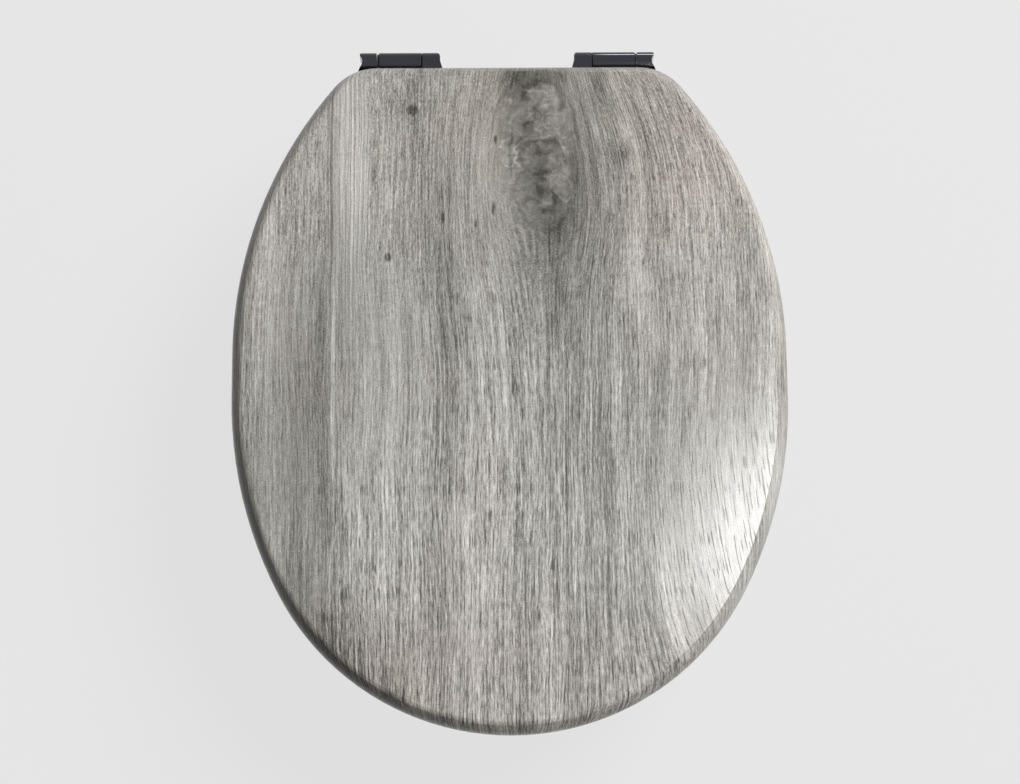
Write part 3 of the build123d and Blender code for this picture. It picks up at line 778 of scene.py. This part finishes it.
def make_stud(side):
    low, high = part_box("fixing_stud_" + side)
    centre = (low + high) / 2
    shank_radius = (high.x - low.x) / 2
    shape = bmesh.new()
    start = low.z - 2 * THREAD_PITCH
    tooth = [(centre.x + radius, 0.0, start + share * THREAD_PITCH) for radius, share in THREAD_TOOTH]
    verts = [shape.verts.new(point) for point in tooth]
    edges = [shape.edges.new(pair) for pair in zip(verts, verts[1:])]
    turns = math.ceil((STUD_SHANK_END - start) / THREAD_PITCH) + 1
    bmesh.ops.spin(shape, geom=verts + edges, cent=(centre.x, 0.0, 0.0), axis=(0.0, 0.0, 1.0),
                   dvec=(0.0, 0.0, THREAD_PITCH / THREAD_STEPS), angle=2 * math.pi * turns,
                   steps=THREAD_STEPS * turns)
    merge_points(shape)
    thread_end = STUD_SHANK_END + THREAD_PITCH / 2
    for height, keep in ((low.z, 1.0), (thread_end, -1.0)):
        bmesh.ops.bisect_plane(shape, geom=shape.verts[:] + shape.edges[:] + shape.faces[:],
                               plane_co=(0.0, 0.0, height), plane_no=(0.0, 0.0, -keep), clear_outer=True)
    bmesh.ops.holes_fill(shape, edges=[edge for edge in shape.edges if edge.is_boundary])
    for vert in shape.verts:
        arm = Vector((vert.co.x - centre.x, vert.co.y, 0.0))
        limit = STUD_TIP_RADIUS + (vert.co.z - low.z)
        if arm.length > limit:
            vert.co -= arm * (1 - limit / arm.length)
    shank = high.z - STUD_SHANK_END
    middle = Matrix.Translation((centre.x, 0.0, STUD_SHANK_END + shank / 2))
    bmesh.ops.create_cone(shape, cap_ends=True, segments=STUD_SHANK_SIDES, radius1=shank_radius,
                          radius2=shank_radius, depth=shank, matrix=middle)
    add_piece("threaded_stud_" + side, shape, "steel", "mount", "fixing_stud_" + side)


for side in ("left", "right"):
    make_stud(side)


# Wood screws with a countersunk head and a cross recess, head down
SCREW_SIDES = 24
SCREW_HEAD = 0.0036
SCREW_HEAD_HEIGHT = 0.0020
SCREW_SHANK = 0.00175
SCREW_TIP = 0.0025
SCREW_TIP_SHARE = 0.25
RECESS_REACH = 0.0021
RECESS_HALF = 0.00055
RECESS_DEPTH = 0.0013
RECESS_FLOOR_SHARE = 0.62
RECESS_TURN = math.radians(37)

# Digits of a metre to which corners of solids are sorted
SORT_DIGITS = 5


# Lowest and highest corners of each separate solid of a node
def island_boxes(node):
    shape = bmesh.new()
    shape.from_mesh(nodes[node].data)
    merge_points(shape)
    waiting = set(shape.verts)
    boxes = []
    while waiting:
        island = [waiting.pop()]
        for vert in island:
            for edge in vert.link_edges:
                other = edge.other_vert(vert)
                if other in waiting:
                    waiting.remove(other)
                    island.append(other)
        corners = [[pick(vert.co[axis] for vert in island) for axis in range(3)] for pick in (min, max)]
        boxes.append((Vector(corners[0]), Vector(corners[1])))
    shape.free()
    return sorted(boxes, key=lambda box: tuple(round(value, SORT_DIGITS) for value in box[0]))


def add_screw(shape, low, high, turn):
    seat = Vector(((low.x + high.x) / 2, (low.y + high.y) / 2, low.z))
    middle = Matrix.Translation(seat)
    rim = bmesh.ops.create_circle(shape, segments=SCREW_SIDES, radius=SCREW_HEAD, matrix=middle)
    rim_edges = list(dict.fromkeys(edge for vert in rim["verts"] for edge in vert.link_edges))
    corner = Vector((RECESS_HALF, RECESS_HALF, 0.0))
    arm_right = Vector((RECESS_REACH, RECESS_HALF, 0.0))
    arm_left = Vector((RECESS_HALF, RECESS_REACH, 0.0))
    points = []
    for quarter in range(4):
        spin = Matrix.Rotation(turn + quarter * math.pi / 2, 3, "Z")
        points += [seat + spin @ point for point in (arm_right, corner, arm_left)]
    cross_edges = add_outline(shape, points)[1]
    bmesh.ops.bridge_loops(shape, edges=rim_edges + cross_edges)
    floor_edges = draw_on(shape, cross_edges, RECESS_FLOOR_SHARE, RECESS_DEPTH, seat)
    bmesh.ops.contextual_create(shape, geom=floor_edges)
    length = high.z - low.z
    neck = draw_on(shape, rim_edges, SCREW_SHANK / SCREW_HEAD, SCREW_HEAD_HEIGHT, seat)
    neck = draw_on(shape, neck, 1.0, length - SCREW_HEAD_HEIGHT - SCREW_TIP, seat)
    point = draw_on(shape, neck, SCREW_TIP_SHARE, SCREW_TIP, seat)
    bmesh.ops.contextual_create(shape, geom=point)


def make_screws(node, body):
    shape = bmesh.new()
    for index, (low, high) in enumerate(island_boxes(node)):
        add_screw(shape, low, high, index * RECESS_TURN)
    add_piece("cross_" + node, shape, "steel", body, node)


make_screws("lid_leaf_screws", "lid")
make_screws("seat_leaf_screws", "seat")
make_screws("seat_buffer_screws", "seat")


# Thin dark shims that close the narrow gap between each barrel and its inner knuckle, as a damper's flange
# would; they keep the pale floor from showing through, so they are partly a painted shade in the seam
SHIM_THICKNESS = 0.0002
SHIM_BORE = 0.0042
SHIM_RADIUS = 0.0077
SHIM_SIDES = 48


def make_seam_shade_shim(side, way):
    leaf_low, leaf_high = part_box("lid_leaf_" + side)
    washer_low, washer_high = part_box("hinge_washer_" + side)
    axis = (washer_low + washer_high) / 2
    face = leaf_high.x if way > 0 else leaf_low.x
    near = face + way * SHIM_THICKNESS / 2
    far = near + way * SHIM_THICKNESS
    shape = bmesh.new()
    corners = [(near, SHIM_BORE), (near, SHIM_RADIUS), (far, SHIM_RADIUS), (far, SHIM_BORE)]
    verts, edges = add_outline(shape, [(x, axis.y, axis.z + radius) for x, radius in corners])
    bmesh.ops.spin(shape, geom=verts + edges, cent=(face, axis.y, axis.z), axis=(1.0, 0.0, 0.0),
                   angle=2 * math.pi, steps=SHIM_SIDES, use_merge=True)
    add_piece("hinge_seam_shade_shim_" + side, shape, "damper_plastic", "mount")


make_seam_shade_shim("left", -1)
make_seam_shade_shim("right", 1)


# Stage: floor, world, lamps and camera
PALE = (*shown(230, 230, 230), 1.0)
FLOOR_DARK = (0.10, 0.10, 0.10, 1.0)
FLOOR_GLOW = 0.92
FLOOR_HALF = 40.0
FLOOR_GAP = 0.0005
AMBIENT = (0.057, 0.055, 0.050, 1.0)


# Shows the pale shader to the camera, to gloss and through glass, and the plain one to soft bounces
def pale_to_camera(tree, plain, pale):
    path = tree.nodes.new("ShaderNodeLightPath")
    seen = path.outputs["Is Camera Ray"]
    for way in ("Is Glossy Ray", "Is Transmission Ray"):
        either = tree.nodes.new("ShaderNodeMath")
        either.operation = "MAXIMUM"
        tree.links.new(seen, either.inputs[0])
        tree.links.new(path.outputs[way], either.inputs[1])
        seen = either.outputs[0]
    mix = tree.nodes.new("ShaderNodeMixShader")
    tree.links.new(seen, mix.inputs["Fac"])
    tree.links.new(plain, mix.inputs[1])
    tree.links.new(pale, mix.inputs[2])
    return mix.outputs["Shader"]


# Floor that shows pale, mostly by its own glow, keeps the object's shadow and throws little light back
def pale_floor():
    material = bpy.data.materials.new("pale_floor")
    material.use_nodes = True
    tree = material.node_tree
    tree.nodes.clear()
    output = tree.nodes.new("ShaderNodeOutputMaterial")
    plain = tree.nodes.new("ShaderNodeBsdfDiffuse")
    plain.inputs["Color"].default_value = FLOOR_DARK
    lit = tree.nodes.new("ShaderNodeBsdfDiffuse")
    lit.inputs["Color"].default_value = PALE
    glow = tree.nodes.new("ShaderNodeEmission")
    glow.inputs["Color"].default_value = PALE
    pale = tree.nodes.new("ShaderNodeMixShader")
    pale.inputs["Fac"].default_value = FLOOR_GLOW
    tree.links.new(lit.outputs[0], pale.inputs[1])
    tree.links.new(glow.outputs[0], pale.inputs[2])
    tree.links.new(pale_to_camera(tree, plain.outputs[0], pale.outputs[0]), output.inputs["Surface"])
    return material


def make_floor():
    shape = bmesh.new()
    bmesh.ops.create_grid(shape, x_segments=1, y_segments=1, size=FLOOR_HALF)
    bmesh.ops.translate(shape, verts=shape.verts, vec=(0.0, 0.0, cad_low.z - FLOOR_GAP))
    floor = make_object("floor", shape, pale_floor())


def make_world():
    world = bpy.data.worlds.new("studio")
    bpy.context.scene.world = world
    world.use_nodes = True
    tree = world.node_tree
    tree.nodes.clear()
    output = tree.nodes.new("ShaderNodeOutputWorld")
    ambient = tree.nodes.new("ShaderNodeBackground")
    ambient.inputs["Color"].default_value = AMBIENT
    pale = tree.nodes.new("ShaderNodeBackground")
    pale.inputs["Color"].default_value = PALE
    tree.links.new(pale_to_camera(tree, ambient.outputs[0], pale.outputs[0]), output.inputs["Surface"])


# Stands an object at a place, with its X axis along right and its -Z axis along forward
def stand(name, data, place, forward, right):
    holder = bpy.data.objects.new(name, data)
    bpy.context.scene.collection.objects.link(holder)
    back = -forward.normalized()
    right = (right - back * right.dot(back)).normalized()
    axes = Matrix((right, back.cross(right), back)).transposed().to_4x4()
    holder.matrix_world = Matrix.Translation(place) @ axes
    return holder


# An area lamp with its first side along a direction. A soft lamp isn't seen in gloss, and others only there
def make_lamp(name, soft, watts, size, place, aim, along, spread=180.0):
    lamp = bpy.data.lights.new(name, "AREA")
    lamp.shape = "RECTANGLE"
    lamp.size, lamp.size_y = size
    lamp.energy = watts
    lamp.spread = math.radians(spread)
    holder = stand(name, lamp, Vector(place), aim - Vector(place), Vector(along))
    holder.visible_camera = False
    holder.visible_glossy = not soft
    holder.visible_diffuse = soft


CAMERA_PLACE = Vector((-0.020, lid_back - 0.4564, lid_top + 1.300))
CAMERA_AIM = Vector((-0.0003, lid_back - 0.22616, lid_top - 0.006))
CAMERA_ROLL = math.radians(-0.523)
CAMERA_LENS = 70.81
SENSOR_WIDTH = 36.0


def make_camera():
    camera = bpy.data.cameras.new("camera")
    camera.lens = CAMERA_LENS
    camera.sensor_fit = "HORIZONTAL"
    camera.sensor_width = SENSOR_WIDTH
    forward = CAMERA_AIM - CAMERA_PLACE
    level = forward.cross(Vector((0.0, 1.0, 0.0)))
    right = Matrix.Rotation(-CAMERA_ROLL, 3, forward) @ level
    bpy.context.scene.camera = stand("camera", camera, CAMERA_PLACE, forward, right)


# Place on the right hinge that the back strip points at
HINGE_AIM = Vector((0.075, 0.022, 0.03))

make_floor()
make_world()
make_lamp("key", soft=True, watts=245.0, size=(2.4, 2.4),
          place=(2.2, 1.78, lid_top + 2.97), aim=lid_middle, along=(-0.7, 0.7, 0.0))
make_lamp("fill", soft=True, watts=28.0, size=(3.2, 3.2), spread=60.0,
          place=(6.1, -3.07, lid_top + 1.8), aim=lid_middle, along=(0.4, 0.9, 0.0))
make_lamp("overhead_strip", soft=False, watts=7.0, size=(0.25, 0.06),
          place=(0.350, -0.176, lid_top + 1.2), aim=lid_middle, along=(0.54, 0.84, 0.0))
make_lamp("back_strip", soft=False, watts=1.9, size=(0.34, 0.12),
          place=(0.285, 0.92, 0.09), aim=HINGE_AIM, along=(1.0, 0.0, 0.0))
make_camera()
bpy.context.scene.view_settings.view_transform = "Standard"
